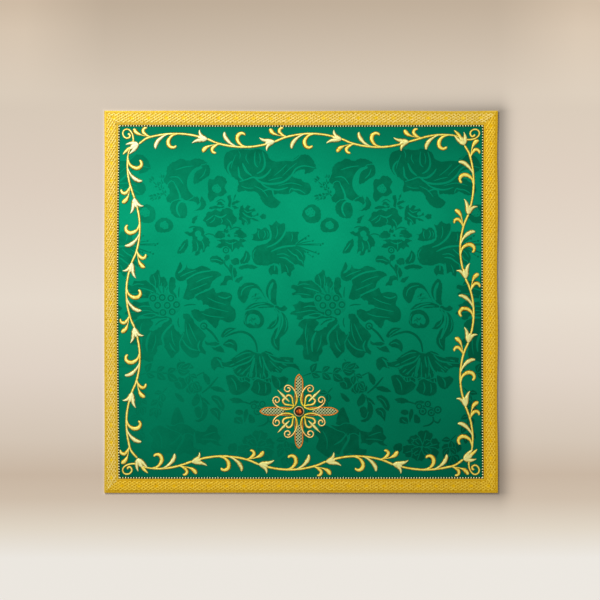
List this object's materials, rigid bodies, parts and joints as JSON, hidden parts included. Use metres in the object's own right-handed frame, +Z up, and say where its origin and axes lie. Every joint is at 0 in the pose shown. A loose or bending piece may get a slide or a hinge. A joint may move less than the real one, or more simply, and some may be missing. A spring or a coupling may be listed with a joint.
{
  "type": "chalice veil",
  "caption": "Square damask veil for covering a chalice, edged with mitred gold galloon and worked with a scrolling vine border and a jewelled scroll cross near the front edge.",
  "frame": {"origin": "centre of the veil's underside, on the surface it lies on", "axes": "+X to the viewer's right along the edge nearest the cross, +Y from the cross towards the far edge, +Z up out of the cloth's face"},
  "size_m": [0.55, 0.534, 0.004],
  "materials": {
    "damask": "figured silk damask, satin ground",
    "gold_braid": "woven metallic galloon",
    "gold_thread": "satin-stitched metallic thread",
    "cross_thread": "couched metallic thread and cord",
    "amber_glass": "faceted polished glass, foiled behind"
  },
  "bodies": {
    "root": {"damask_panel": "damask", "galloon_bottom": "gold_braid", "galloon_right": "gold_braid", "galloon_top": "gold_braid", "galloon_left": "gold_braid", "vine_embroidery": "gold_thread", "cross_embroidery": "cross_thread", "stone_ring": "gold_thread", "stone": "amber_glass"}
  },
  "joints": []
}
